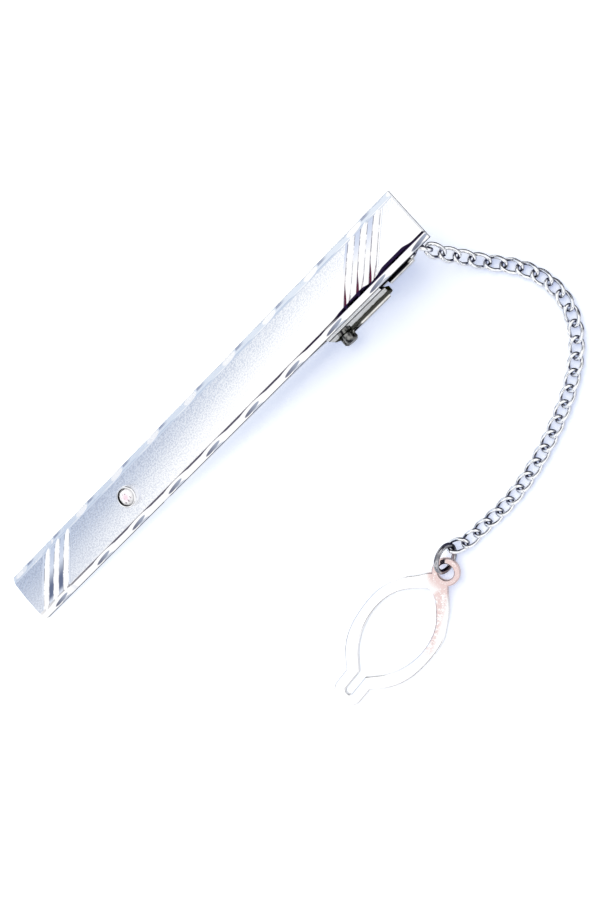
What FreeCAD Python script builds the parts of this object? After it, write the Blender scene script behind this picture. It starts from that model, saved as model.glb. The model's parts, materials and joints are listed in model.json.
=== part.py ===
"""A tie clip with a safety chain and a button loop, as separate named solids. Lengths are in mm.

The clip is drawn in its own frame: u along the bar, v across it, w out of its face, the bar's back at w = 0.
It is then laid face up on the table plane z = 0, where it rests on its far tip and its bracket's two cheeks.
The chain and the loop are drawn on the table. At the end everything moves so that the origin is at the
bottom centre.
"""
import FreeCAD, Part
import json
import math
import os
from FreeCAD import Vector as V

# front bar
bar_length = 58.0
bar_far_width = 5.65
bar_clip_width = 5.65
bar_thick = 1.0
crown_radius = 20.0
bevel_width = 0.56
bevel_slope_deg = 37.6
edge_height = 0.38
strip_slope_deg = 20.0
scallop_pitch = 5.9
scallop_inset = 5.85
scallop_count = 8
scallop_clip_inset = 1.35
scallop_far_inset = 3.6
scallop_radius = 11.0
scallop_slope_deg = 44.5
scallop_bite = 0.07
scallop_rim_radius = 42.0
scallop_rim_bite = 0.045
groove_pitch = 1.7
groove_far_inset = 3.53
groove_clip_inset = 7.57
groove_count = 3
groove_slant_share = 1.13
groove_width = 0.66
groove_depth = 0.24

# stone and its setting
stone_inset = 17.65
stone_radius = 0.90
stone_table_share = 0.56
stone_crown = 0.30
stone_girdle = 0.07
stone_pavilion = 0.42
stone_sides = 8
bezel_radius = 1.15
bezel_wall = 0.22
bezel_rise = 0.72
bezel_rim = 0.17
bezel_stem_radius = 0.55
seat_drop = 0.03
solder_gap = 0.02

# hinge bracket
bracket_setback = 14.0
bracket_length = 7.2
bracket_half_width = 2.92
bracket_sheet = 0.5
bracket_depth = 4.4
bracket_flare = 0.4
bracket_knee = 1.8
bracket_lip = 0.15
bracket_lip_thick = 0.2
bracket_bend = 0.65
bracket_near_round = 1.2
bracket_far_round = 1.7

# hinge pin
pin_inset = 1.0
pin_depth = 2.6
pin_radius = 0.6
pin_fit = 0.03
pin_head_radius = 0.78
pin_head_thick = 0.95
pin_head_dome = 0.2
pin_rivet_radius = 0.7
pin_rivet_thick = 0.12

# jaw
jaw_sheet = 0.5
jaw_side_gap = 0.1
jaw_floor_gap = 0.15
jaw_lobe_radius = 1.05
jaw_lobe_back = 3.0
jaw_arm_inset = 0.4
jaw_reach = 23.9
jaw_tip_half_width = 1.7
jaw_tip_drop = 1.1
jaw_lip_thick = 0.55
jaw_bite_gap = 0.04
bite_groove_depth = 0.25
bite_groove_gap = 0.25
jaw_teeth = 5
jaw_tooth_depth = 0.4
tail_length = 3.1
tail_half_width = 2.72
tail_thick = 0.7
tail_curl_radius = 0.5

# jaw spring
spring_wire = 0.34
spring_pin_gap = 0.07
spring_half_length = 1.55
spring_turns = 3
spring_leg_reach = 3.6
spring_leg_gap = 0.05

# chain eye on the bar's back, and the first ring
eye_inset = 1.85
eye_v = -2.35
eye_wire = 0.45
eye_half_width = 0.75
eye_drop = 1.1
eye_turn_deg = 33.5
ring_wire = 0.45
ring_radius = 0.95
ring_gap = 0.05
ring_slope_deg = 41.0

# chain
link_wire = 0.36
link_pitch = 1.50
link_slack = 0.14
link_half_width = 0.60
link_twist = 0.28
link_count = 28
# where the chain runs: how far past the bar's clip end, how far across, and the rise above a link on the table
chain_route = [
    (-1.05, -4.10, 2.29), (-0.15, -5.37, 1.16), (0.70, -6.68, 0.32), (1.65, -7.92, 0.03), (2.62, -9.10, 0),
    (3.85, -11.40, 0), (4.20, -14.10, 0), (3.40, -16.80, 0), (1.60, -19.10, 0), (-0.70, -20.90, 0),
    (-3.20, -22.30, 0), (-5.80, -23.45, 0), (-8.50, -24.40, 0), (-11.40, -25.10, 0), (-14.40, -25.40, 0),
    (-16.40, -25.46, 0.03), (-17.89, -25.57, 0.15), (-19.25, -24.97, 0.34), (-20.80, -24.20, 0.60),
]

# jump ring
jump_wire = 0.50
jump_radius = 1.35
jump_gap = 0.05
jump_tilt_deg = 65.0
jump_heading_deg = 34.0
jump_reach = 1.36
jump_side = 0.30

# button loop
loop_thick = 0.6
loop_round = 0.14
loop_heading_deg = 189.6
loop_eye_radius = 1.4
loop_eye_hole = 0.8
loop_eye_height = 0.95
loop_outer = [(0.95, 1.00), (1.90, 1.80), (2.98, 2.72), (3.65, 3.10), (5.37, 3.93), (7.00, 4.19), (9.10, 4.14),
              (11.00, 3.80), (12.35, 3.24), (13.30, 2.62), (14.10, 1.90), (14.60, 1.40)]
loop_hole = [(2.70, 0.60), (3.45, 1.40), (4.82, 2.41), (6.50, 2.94), (8.42, 3.01), (10.60, 2.52), (12.30, 1.62),
             (13.20, 0.85)]
loop_hole_near = 2.45
loop_hole_far = 13.9
loop_tail_half_width = 1.55
loop_tail_end = 17.6
loop_slot_half_width = 0.36
loop_slot_end = 16.4

# places along the bar, worked out from the sizes above
stone_u = stone_inset
bracket_from = bar_length - bracket_setback
bracket_to = bracket_from + bracket_length
pin_u = bracket_from + pin_inset
jaw_arm_from = bracket_from + jaw_arm_inset
jaw_tip_from = jaw_arm_from - jaw_reach
tail_to = bracket_to + tail_length
eye_u = bar_length - eye_inset

ACROSS, UP = V(0, 1, 0), V(0, 0, 1)
NONE = V(0, 0, 0)
parts = {}
facts = {"joints": {}}


def half_width(u):
    """Half the bar's width at a place along it."""
    return (bar_far_width + (bar_clip_width - bar_far_width) * u / bar_length) / 2


def face(points):
    return Part.Face(Part.makePolygon([V(*p) for p in points + points[:1]]))


def block(u0, u1, v0, v1, w0, w1):
    return Part.makeBox(u1 - u0, v1 - v0, w1 - w0, V(u0, v0, w0))


def faceted(polygons):
    """A solid bounded by flat polygons."""
    shell = Part.makeShell([Part.Face(Part.makePolygon(p + p[:1])) for p in polygons])
    shell.sewShape()
    solid = Part.Solid(shell)
    if solid.Volume < 0:
        solid.reverse()
    return solid


def tapered(first, second):
    """A flat-sided solid between two closed polygons with the same number of corners."""
    a, b = [V(*p) for p in first], [V(*p) for p in second]
    return faceted([a, b] + [[a[k - 1], a[k], b[k], b[k - 1]] for k in range(len(a))])


def joined(shapes):
    whole = shapes[0].multiFuse(shapes[1:]) if len(shapes) > 1 else shapes[0]
    whole = whole.removeSplitter()
    return whole.Solids[0] if len(whole.Solids) == 1 else whole


def rounded_plate(outline, rounds, depth_from, depth_to):
    """A plate in the u-w plane with some of its corners rounded, reaching across from one v to another."""
    edges = []
    n = len(outline)
    ends = []
    for i, (p, r) in enumerate(zip(outline, rounds)):
        here = V(p[0], depth_from, p[1])
        back = V(outline[i - 1][0], depth_from, outline[i - 1][1]) - here
        ahead = V(outline[(i + 1) % n][0], depth_from, outline[(i + 1) % n][1]) - here
        back.normalize()
        ahead.normalize()
        half = back.getAngle(ahead) / 2
        run = r / math.tan(half)
        start, end = here + back * run, here + ahead * run
        if r:
            way = back + ahead
            way.normalize()
            middle = here + way * (r / math.sin(half) - r)
            ends.append((start, middle, end))
        else:
            ends.append((start, None, end))
    for i, (start, middle, end) in enumerate(ends):
        if middle is not None:
            edges.append(Part.Arc(start, middle, end).toShape())
        edges.append(Part.makeLine(end, ends[(i + 1) % n][0]))
    return Part.Face(Part.Wire(edges)).extrude(V(0, depth_to - depth_from, 0))


def rod(start, way, radius):
    return Part.makeCylinder(radius, way.Length, start, way)


def wire_ring(centre, normal, radius, wire):
    return Part.makeTorus(radius, wire / 2, centre, normal)


def arc_through(start, tangent, end):
    """The circular arc that leaves a point along a tangent and reaches another, as (edge, end tangent)."""
    chord = end - start
    tangent = V(tangent)
    tangent.normalize()
    if tangent.cross(chord).Length < 1e-9 * chord.Length:
        return Part.makeLine(start, end), tangent
    side = chord - tangent * tangent.dot(chord)
    side.normalize()
    radius = chord.dot(chord) / (2 * side.dot(chord))
    centre = start + side * radius
    middle = (start + end) / 2 - centre
    turned = tangent.dot(chord) < 0
    middle.normalize()
    middle = centre + middle * radius * (-1 if turned else 1)
    out = chord * (2 * tangent.dot(chord) / chord.dot(chord)) - tangent
    out.normalize()
    return Part.Arc(start, middle, end).toShape(), out


def biarc(p0, t0, p1, t1):
    """Two arcs that join two points and keep both end tangents."""
    gap, both = p1 - p0, t0 + t1
    a, b, c = 2 * (1 - t0.dot(t1)), 2 * gap.dot(both), -gap.dot(gap)
    reach = -c / b if a < 1e-9 else (-b + math.sqrt(b * b - 4 * a * c)) / (2 * a)
    middle = (p0 + t0 * reach + p1 - t1 * reach) / 2
    first, tangent = arc_through(p0, t0, middle)
    second, _ = arc_through(middle, tangent, p1)
    return [first, second]


def tube(edges, wire):
    """One unbroken round wire along edges that run on smoothly."""
    path = Part.Wire(edges)
    start, way = edges[0].Vertexes[0].Point, edges[0].tangentAt(edges[0].FirstParameter)
    section = Part.Wire([Part.makeCircle(wire / 2, start, way)])
    return path.makePipeShell([section], True, False)


def make_bar():
    """The bar: a crowned face, a narrow polished strip and a bevel on each long edge, and its cuts."""
    bevel, strip = math.radians(bevel_slope_deg), math.radians(strip_slope_deg)

    def section(u, half):
        shoulder = edge_height + bevel_width * math.tan(bevel)
        inner = half - bevel_width - (bar_thick - shoulder) / math.tan(strip)
        side = [(half, 0), (half, edge_height), (half - bevel_width, shoulder), (inner, bar_thick)]
        return [(u, v, w) for v, w in side] + [(u, -v, w) for v, w in side[::-1]]
    bar = tapered(section(0, bar_far_width / 2), section(bar_length, bar_clip_width / 2))
    bar = bar.common(rod(V(-bar_length, 0, bar_thick - crown_radius), V(3 * bar_length, 0, 0), crown_radius))
    for cutter in scallops() + grooves() + [bite_groove()]:
        bar = bar.cut(cutter)
    bar = bar.cut(rod(V(stone_u, 0, 0), V(0, 0, bar_thick), bezel_stem_radius + solder_gap))
    return bar.removeSplitter().Solids[0]


def scallops():
    """Round cutters: a lens facet, steeper than the bevel, in its outer edge, and a long shallow rim round it."""
    cuts = [(scallop_slope_deg, scallop_radius, scallop_bite),
            (bevel_slope_deg, scallop_rim_radius, scallop_rim_bite)]
    places = [bar_length - scallop_inset - scallop_pitch * k for k in range(scallop_count)]
    cutters = []
    for side in (-1, 1):
        for u in places + [bar_length - scallop_clip_inset, scallop_far_inset]:
            corner = V(u, side * half_width(u), edge_height)
            for slope_deg, radius, bite in cuts:
                slope = math.radians(slope_deg)
                down = V(0, side * math.cos(slope), -math.sin(slope))
                out = V(0, side * math.sin(slope), math.cos(slope))
                axis = corner + out * (radius - bite)
                cutters.append(rod(axis - down * bar_clip_width, down * 2 * bar_clip_width, radius))
    return cutters


def grooves():
    """Slanted V cutters across the face, a set near each end of the bar."""
    way = V(groove_slant_share, 1, 0)
    way.normalize()
    side = V(-way.y, way.x, 0)
    cutters = []
    for first in (groove_far_inset, bar_length - groove_clip_inset):
        for k in range(groove_count):
            deep = V(first + groove_pitch * k, 0, bar_thick - groove_depth) - way * bar_clip_width
            brim = deep + V(0, 0, 2 * groove_depth)
            edge = [deep, brim + side * groove_width, brim - side * groove_width]
            cut = Part.Face(Part.makePolygon(edge + edge[:1]))
            cutters.append(cut.extrude(way * 2 * bar_clip_width))
    return cutters


def bite_groove():
    """The cross groove in the bar's back that the jaw's teeth close into."""
    return block(jaw_tip_from - jaw_lip_thick - bite_groove_gap, jaw_tip_from + bite_groove_gap, -bar_clip_width,
                 bar_clip_width, 0, bite_groove_depth)


def make_setting():
    """The bezel cup with its stem, turned about its own axis, and the faceted stone in it."""
    seat = bar_thick + bezel_rise - stone_crown
    inner = bezel_radius - bezel_wall
    profile = [(0, 0), (bezel_stem_radius, 0), (bezel_stem_radius, bar_thick), (bezel_radius, bar_thick),
               (bezel_radius, bar_thick + bezel_rise), (inner, bar_thick + bezel_rise), (inner, seat - seat_drop),
               (bezel_wall, seat - stone_pavilion - seat_drop), (0, seat - stone_pavilion - seat_drop)]
    cup = face([(stone_u + r, 0, w) for r, w in profile])
    cup = cup.revolve(V(stone_u, 0, 0), UP, 360)
    wide = bezel_radius - bezel_wall / 2
    rim = [e for e in cup.Edges if e.BoundBox.ZMin > bar_thick and e.BoundBox.YMax > wide]
    cup = cup.makeFillet(bezel_rim, rim[:1]).Solids[0]

    def corners(radius, w, turn):
        angle = 2 * math.pi / stone_sides
        return [V(stone_u + radius * math.cos(angle * (k + turn)), radius * math.sin(angle * (k + turn)), w)
                for k in range(stone_sides)]
    top = corners(stone_radius * stone_table_share, seat + stone_girdle + stone_crown, 0)
    upper = corners(stone_radius, seat + stone_girdle, 1 / 2)
    lower = corners(stone_radius, seat, 1 / 2)
    point = V(stone_u, 0, seat - stone_pavilion)
    facets = [top]
    for k in range(stone_sides):
        n = (k + 1) % stone_sides
        facets += [[top[k], upper[k], top[n]], [upper[k], upper[n], top[n]],
                   [upper[k], lower[k], lower[n], upper[n]], [lower[k], point, lower[n]]]
    return cup, faceted(facets)


def make_bracket():
    """The folded channel on the bar's back. The cheek with the pin's head flares to a knee and ends in a lip."""
    out = bracket_half_width + bracket_flare
    inner = bracket_half_width - bracket_sheet
    bend = bracket_bend
    outline = [(out + bracket_lip, -bracket_depth), (out + bracket_lip, bracket_lip_thick - bracket_depth),
               (out, bracket_lip_thick - bracket_depth), (out, -bracket_knee), (bracket_half_width, 0),
               (-bracket_half_width, 0), (-bracket_half_width, -bracket_depth)]
    shell = rounded_plate(outline, [0, 0, 0, 0, bend, bend, 0], bracket_from, bracket_to)
    bend = bracket_bend - bracket_sheet
    flared = inner + bracket_flare * bracket_sheet / bracket_knee
    hole = [(out - bracket_sheet, -2 * bracket_depth), (out - bracket_sheet, -bracket_knee),
            (flared, -bracket_sheet), (-inner, -bracket_sheet), (-inner, -2 * bracket_depth)]
    hollow = rounded_plate(hole, [0, 0, bend, bend, 0], bracket_from - bracket_sheet, bracket_to + bracket_sheet)
    channel = shell.cut(hollow)
    # the section was drawn across the bar, so it turns a quarter to run along it
    channel.rotate(NONE, UP, -90)
    channel = channel.mirror(NONE, ACROSS) if channel.BoundBox.XMax < 0 else channel
    side = rounded_plate([(bracket_from, -bracket_depth), (bracket_to, -bracket_depth), (bracket_to, 0),
                          (bracket_from, 0)],
                         [bracket_near_round, bracket_far_round, 0, 0], -2 * bracket_half_width,
                         2 * bracket_half_width)
    bore = rod(V(pin_u, -2 * bracket_half_width, -pin_depth), V(0, 4 * bracket_half_width, 0),
               pin_radius + pin_fit)
    return channel.common(side).cut(bore).removeSplitter().Solids[0]


def make_pin():
    """The hinge pin: a domed head outside one cheek, and a flat riveted end outside the other."""
    far = bracket_half_width + pin_fit
    inside = far + bracket_flare
    out, rivet = inside + pin_head_thick, far + pin_rivet_thick
    profile = [(0, -out), (pin_head_radius - pin_head_dome, -out), (pin_head_radius, pin_head_dome - out),
               (pin_head_radius, -inside), (pin_radius, -inside), (pin_radius, far),
               (pin_rivet_radius, far), (pin_rivet_radius, rivet), (0, rivet)]
    pin = face([(pin_u + r, v, -pin_depth) for r, v in profile]).revolve(V(pin_u, 0, -pin_depth), ACROSS, 360)
    return pin if pin.ShapeType == "Solid" else Part.Solid(pin.Shells[0])


def make_jaw():
    half = bracket_half_width - bracket_sheet - jaw_side_gap
    low = -bracket_depth + jaw_floor_gap
    high = low + jaw_sheet
    tip_low = -jaw_tip_drop - jaw_sheet
    web = block(jaw_arm_from, bracket_to, -half, half, low, high)

    def arm_section(u, half, w0, w1):
        return [(u, -half, w0), (u, half, w0), (u, half, w1), (u, -half, w1)]
    arm = tapered(arm_section(jaw_arm_from, half, low, high),
                  arm_section(jaw_tip_from, jaw_tip_half_width, tip_low, -jaw_tip_drop))
    # the toothed lip stands up from the arm's end into the bar's bite groove
    pitch = 2 * jaw_tip_half_width / jaw_teeth
    tooth = bite_groove_depth - jaw_bite_gap
    comb = [(-jaw_tip_half_width, tip_low)]
    for k in range(jaw_teeth):
        v = -jaw_tip_half_width + pitch * k
        comb += [(v, tooth - jaw_tooth_depth), (v + pitch / 2, tooth)]
    comb += [(jaw_tip_half_width, tooth - jaw_tooth_depth), (jaw_tip_half_width, tip_low)]
    lip = face([(jaw_tip_from - jaw_lip_thick, v, w) for v, w in comb]).extrude(V(jaw_lip_thick, 0, 0))
    pieces = [web, arm, lip]
    for side in (-1, 1):
        inner, outer = sorted((side * (half - jaw_sheet), side * half))
        lobe = rod(V(pin_u, inner, -pin_depth), V(0, outer - inner, 0), jaw_lobe_radius)
        cheek = rounded_plate([(pin_u - jaw_lobe_radius, low), (pin_u + jaw_lobe_back, low),
                               (pin_u + jaw_lobe_back, high + jaw_sheet),
                               (pin_u + jaw_lobe_radius, -pin_depth), (pin_u - jaw_lobe_radius, -pin_depth)],
                              [0, 0, 0, 0, 0], inner, outer)
        pieces += [lobe, cheek]
    # the thumb tail has full round edges, and ends in a small curl
    edge = tail_thick / 2
    middle = high - edge
    flat = tail_half_width - edge
    tail = [block(bracket_to, tail_to, -flat, flat, middle - edge, middle + edge)]
    tail += [rod(V(bracket_to, side * flat, middle), V(tail_to - bracket_to, 0, 0), edge) for side in (-1, 1)]
    curl = rod(V(tail_to, -flat, middle), V(0, 2 * flat, 0), tail_curl_radius)
    pieces += tail + [curl]
    jaw = joined(pieces)
    bore = rod(V(pin_u, -2 * half, -pin_depth), V(0, 4 * half, 0), pin_radius + pin_fit)
    return jaw.cut(bore).removeSplitter().Solids[0]


def make_spring():
    """A torsion spring: a coil round the pin, with one leg under the bracket's top and one on the jaw's web."""
    radius = pin_radius + spring_pin_gap + spring_wire / 2
    rise = 2 * spring_half_length - spring_wire
    jaw_top = -bracket_depth + jaw_floor_gap + jaw_sheet
    leg_low = jaw_top + spring_leg_gap + spring_wire / 2
    leg_high = -bracket_sheet - spring_leg_gap - spring_wire / 2

    def leave(w, up):
        """The angle on the coil where a straight leg to a place above or below leaves it."""
        away, lift = spring_leg_reach, w + pin_depth
        far = math.hypot(away, lift)
        return math.atan2(lift, away) + (1 if up else -1) * math.acos(radius / far)
    start, end = leave(leg_low, False), leave(leg_high, True)
    # the coil runs from the lower leg round by whole turns to the upper one
    sweep = (start - end) % (2 * math.pi) + 2 * math.pi * spring_turns
    steps = math.ceil(sweep / (math.pi / 2))

    def on_coil(k):
        angle = start - sweep * k / steps
        return V(pin_u + radius * math.cos(angle), rise * (k / steps - 1 / 2),
                 -pin_depth + radius * math.sin(angle))

    def heading(k):
        angle = start - sweep * k / steps
        climb = rise / sweep if 0 < k < steps else 0
        way = V(radius * math.sin(angle), climb, -radius * math.cos(angle))
        way.normalize()
        return way

    def leg(w):
        return math.sqrt(spring_leg_reach ** 2 + (w + pin_depth) ** 2 - radius ** 2)
    low_end = on_coil(0) - heading(0) * leg(leg_low)
    high_end = on_coil(steps) + heading(steps) * leg(leg_high)
    edges = [Part.makeLine(low_end, on_coil(0))]
    for k in range(steps):
        edges += biarc(on_coil(k), heading(k), on_coil(k + 1), heading(k + 1))
    edges.append(Part.makeLine(on_coil(steps), high_end))
    print("gap between spring turns", round(rise / sweep * 2 * math.pi - spring_wire, 3))
    return tube(edges, spring_wire)


def make_chain_eye():
    """A wire staple on the bar's back that the chain's first ring hangs in."""
    low = V(eye_u - eye_half_width, eye_v, 0)
    high = V(eye_u + eye_half_width, eye_v, 0)
    turn = eye_half_width
    drop = eye_drop - turn
    pieces = [rod(p, V(0, 0, -drop), eye_wire / 2) for p in (low, high) if drop > 0]
    bow = Part.makeCircle(eye_wire / 2, V(eye_u - turn, eye_v, -drop), UP)
    bow = Part.Face(Part.Wire([bow])).revolve(V(eye_u, eye_v, -drop), ACROSS, -180)
    eye = joined(pieces + [bow])
    eye.rotate(V(eye_u, eye_v, 0), UP, eye_turn_deg)
    return eye


def make_link():
    """A wire oval, twisted so that its neighbours pass through it and the chain still lies flat."""
    long, wide = (link_pitch + link_wire + link_slack) / 2, link_half_width

    def on(k):
        return V(long * math.cos(k * math.pi / 2), wide * math.sin(k * math.pi / 2), 0)

    def way(k):
        angle = k * math.pi / 2
        t = V(-long * math.sin(angle), wide * math.cos(angle), 2 * link_twist * math.cos(2 * angle))
        t.normalize()
        return t
    segments = []
    for k in range(4):
        for arc in biarc(on(k), way(k), on(k + 1), way(k + 1)):
            curve = arc.Curve
            start = arc.Vertexes[0].Point
            tangent = arc.tangentAt(arc.FirstParameter)
            disc = Part.Face(Part.Wire([Part.makeCircle(link_wire / 2, start, tangent)]))
            angle = math.degrees(arc.LastParameter - arc.FirstParameter)
            segments.append(disc.revolve(curve.Center, curve.Axis, angle))
    return joined([s if s.ShapeType == "Solid" else Part.Solid(s) for s in segments])


def frame_at(centre, along):
    """A placement with x along the chain and z as near straight up as that allows."""
    x = V(along)
    x.normalize()
    z = UP - x * x.z
    z.normalize()
    y = z.cross(x)
    turn = FreeCAD.Rotation(FreeCAD.Matrix(x.x, y.x, z.x, 0, x.y, y.y, z.y, 0, x.z, y.z, z.z, 0, 0, 0, 0, 1))
    return FreeCAD.Placement(centre, turn)


def even_points(curve, first, step, count):
    """Points on a curve, each a fixed straight distance from the one before."""
    points = [first]
    fine = 4000
    start, span = curve.FirstParameter, curve.LastParameter - curve.FirstParameter
    grid = [curve.value(start + span * k / fine) for k in range(fine + 1)]
    at = 0
    for _ in range(count):
        here = points[-1]
        while at < fine and (grid[at] - here).Length < step:
            at += 1
        a, b = grid[at - 1], grid[at]
        da, db = (a - here).Length, (b - here).Length
        share = (step - da) / (db - da)
        point = a + (b - a) * share
        points.append(here + (point - here) * (step / (point - here).Length))
    return points


def spline_face(side_points, near, far, z):
    """A smooth outline about the x axis: one side's points, their mirror image, and any tip at each end."""
    upper = [V(t, h, z) for t, h in side_points]
    lower = [V(t, -h, z) for t, h in side_points]
    tips = [[] if t is None else [V(t, 0, z)] for t in (near, far)]
    around = tips[0] + upper + tips[1] + lower[::-1]
    curve = Part.BSplineCurve()
    curve.interpolate(Points=around, PeriodicFlag=True)
    return Part.Face(Part.Wire([curve.toShape()]))


def make_loop():
    """The flat keyhole ring: a wide opening for the button, and a slot that the button's thread slides into."""
    up = V(0, 0, loop_thick)
    outer = spline_face(loop_outer, None, None, 0).extrude(up)
    eye = rod(NONE, up, loop_eye_radius)
    tail_mid = loop_tail_end - loop_tail_half_width
    tail = block(loop_hole_far - loop_tail_half_width, tail_mid, -loop_tail_half_width, loop_tail_half_width,
                 0, loop_thick)
    tip = rod(V(tail_mid, 0, 0), up, loop_tail_half_width)
    plate = joined([outer, eye, tail, tip])
    slot_mid = loop_slot_end - loop_slot_half_width
    slot = block(loop_hole_far - loop_slot_half_width * 3, slot_mid, -loop_slot_half_width, loop_slot_half_width,
                 0, loop_thick)
    holes = [spline_face(loop_hole, loop_hole_near, loop_hole_far, 0).extrude(up), slot,
             rod(V(slot_mid, 0, 0), up, loop_slot_half_width), rod(NONE, up, loop_eye_hole)]
    plate = plate.cut(joined(holes[:3])).cut(holes[3]).removeSplitter().Solids[0]
    rims = [e for e in plate.Edges if abs(e.BoundBox.ZMax - e.BoundBox.ZMin) < loop_round]
    try:
        rounded = plate.makeFillet(loop_round, rims)
        if rounded.isValid() and rounded.Volume > 0:
            plate = rounded.Solids[0]
    except Exception:
        print("the loop's rims stay sharp")
    return plate


# the clip, drawn in its own frame, then laid down on its far tip and its bracket's rounded corners
corner_u, corner_w = bracket_from + bracket_near_round, bracket_depth - bracket_near_round
lean = math.atan2(corner_w, corner_u) + math.asin(bracket_near_round / math.hypot(corner_u, corner_w))
facts["lean_deg"] = math.degrees(lean)


def laid(point):
    u, v, w = point
    return V(u * math.cos(lean) - w * math.sin(lean), v, u * math.sin(lean) + w * math.cos(lean))


parts["front_bar"] = make_bar()
parts["stone_bezel"], parts["stone"] = make_setting()
parts["hinge_bracket"] = make_bracket()
parts["hinge_pin"] = make_pin()
parts["jaw_lever"] = make_jaw()
parts["jaw_spring"] = make_spring()
parts["chain_eye"] = make_chain_eye()
for name in list(parts):
    parts[name] = parts[name].copy()
    parts[name].rotate(NONE, ACROSS, -math.degrees(lean))
facts["joints"]["jaw_hinge"] = (laid((pin_u, 0, -pin_depth)), V(0, 1, 0))

# the first ring hangs round the eye's bow, towards the chain
bow = laid((eye_u, eye_v, -eye_drop))
slope = math.radians(ring_slope_deg)
turn = math.radians(eye_turn_deg)
bow_way = V(math.cos(turn), math.sin(turn), 0)
hang = V(math.sin(turn) * math.cos(slope), -math.cos(turn) * math.cos(slope), -math.sin(slope))
ring_centre = bow + hang * (ring_radius - eye_wire / 2 - ring_wire / 2 - ring_gap)
parts["first_ring"] = wire_ring(ring_centre, bow_way, ring_radius, ring_wire)
facts["joints"]["first_ring_lift"] = (bow, bow_way)

# the chain: link ends meet at pivots spaced one pitch apart along its route
link_end = (link_wire + link_slack) / 2
lying = link_twist + link_wire / 2
stops = [V(bar_length + past, aside, lying + rise) for past, aside, rise in chain_route]
ring_far = ring_centre + hang * ring_radius
to_route = stops[0] - ring_far
to_route.normalize()
pivot = ring_far - to_route * (link_wire / 2 + ring_wire / 2 + ring_gap - link_end)
route = Part.BSplineCurve()
route.interpolate([pivot] + stops)
pivots = even_points(route, pivot, link_pitch, link_count)
link = make_link()
for k in range(link_count):
    here = link.copy()
    here.Placement = frame_at((pivots[k] + pivots[k + 1]) / 2, pivots[k + 1] - pivots[k])
    parts["chain_link_%02d" % (k + 1)] = here
    facts["joints"]["link_%02d_swing" % (k + 1)] = (pivots[k], UP)

# the jump ring stands tilted on the table, round the last link's end
last = pivots[-1]
ahead = math.radians(jump_heading_deg)
across, beside = V(math.cos(ahead), math.sin(ahead), 0), V(-math.sin(ahead), math.cos(ahead), 0)
tilt = math.radians(jump_tilt_deg)
steep = beside * math.cos(tilt) + UP * math.sin(tilt)
jump_height = jump_radius * math.sin(tilt) + jump_wire / 2
back = pivots[-2] - last
back.normalize()
held = last + back * (link_wire / 2 + jump_wire / 2 + jump_gap - link_end)
held_at = math.asin((held.z - jump_height) / (jump_radius * math.sin(tilt)))
jump_centre = held - (across * math.cos(held_at) + steep * math.sin(held_at)) * jump_radius
ring_way = across.cross(steep)
parts["jump_ring"] = wire_ring(jump_centre, ring_way, jump_radius, jump_wire)
facts["joints"]["jump_ring_swing"] = (last, UP)

# the button loop lies on its tail, its eye held up by the jump ring
loop = make_loop()
sink = math.asin((loop_eye_height - loop_thick / 2) / loop_tail_end)
loop.translate(V(0, 0, -loop_thick / 2))
loop.rotate(NONE, ACROSS, math.degrees(sink))
loop.rotate(NONE, UP, loop_heading_deg)
eye_middle = jump_centre - across * jump_reach - beside * jump_side
eye_middle.z = loop_eye_height
loop.translate(eye_middle)
parts["button_loop"] = loop
# the loop slides round the jump ring's wire as it lifts
facts["joints"]["button_loop_lift"] = (jump_centre, ring_way * -1)
facts["loop_eye"] = tuple(eye_middle)

# the origin goes to the bottom centre of the whole part
whole = Part.makeCompound(list(parts.values()))
box = whole.optimalBoundingBox()
shift = V(-(box.XMin + box.XMax) / 2, -(box.YMin + box.YMax) / 2, -box.ZMin)
os.makedirs("parts", exist_ok=True)
for name, shape in parts.items():
    shape = shape.copy()
    shape.translate(shift)
    if len(shape.Solids) != 1 or not shape.isValid():
        print("look at", name, len(shape.Solids), shape.isValid())
    shape.exportStep("parts/%s.step" % name)
facts["joints"] = {k: {"pos": [round(x, 5) for x in p + shift], "axis": [round(x, 6) for x in a]}
                   for k, (p, a) in facts["joints"].items()}
facts["shift"] = tuple(shift)
facts["size"] = (box.XLength, box.YLength, box.ZLength)
facts["pivots"] = [[round(x, 5) for x in p + shift] for p in pivots]
print("facts", json.dumps(facts))
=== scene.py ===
"""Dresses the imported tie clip: finishes for every metal piece, a brilliant-cut stone, and a white studio.

All lengths are metres in the part's own frame: +X along the bar to its clip end, +Z up, the table at z = 0.
"""
import json
import math

import bmesh
import bpy
import numpy as np
from mathutils import Matrix, Vector


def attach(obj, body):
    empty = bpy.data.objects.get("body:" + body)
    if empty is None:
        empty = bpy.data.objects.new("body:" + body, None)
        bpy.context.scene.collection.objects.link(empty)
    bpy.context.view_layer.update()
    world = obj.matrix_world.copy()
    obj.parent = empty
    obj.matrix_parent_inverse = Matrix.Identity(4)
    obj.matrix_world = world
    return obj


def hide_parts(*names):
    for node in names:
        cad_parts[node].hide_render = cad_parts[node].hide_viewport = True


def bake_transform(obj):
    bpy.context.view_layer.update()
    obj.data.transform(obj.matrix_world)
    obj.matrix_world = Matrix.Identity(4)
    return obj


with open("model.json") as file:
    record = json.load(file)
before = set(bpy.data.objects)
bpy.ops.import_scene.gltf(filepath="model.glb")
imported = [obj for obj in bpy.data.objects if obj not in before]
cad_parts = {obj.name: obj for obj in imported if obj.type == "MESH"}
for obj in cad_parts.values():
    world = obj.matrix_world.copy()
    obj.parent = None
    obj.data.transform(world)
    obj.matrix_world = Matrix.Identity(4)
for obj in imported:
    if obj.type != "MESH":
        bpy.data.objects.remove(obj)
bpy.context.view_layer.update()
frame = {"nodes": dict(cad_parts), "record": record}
MM = 0.001
WHITE = (1, 1, 1, 1)

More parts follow.
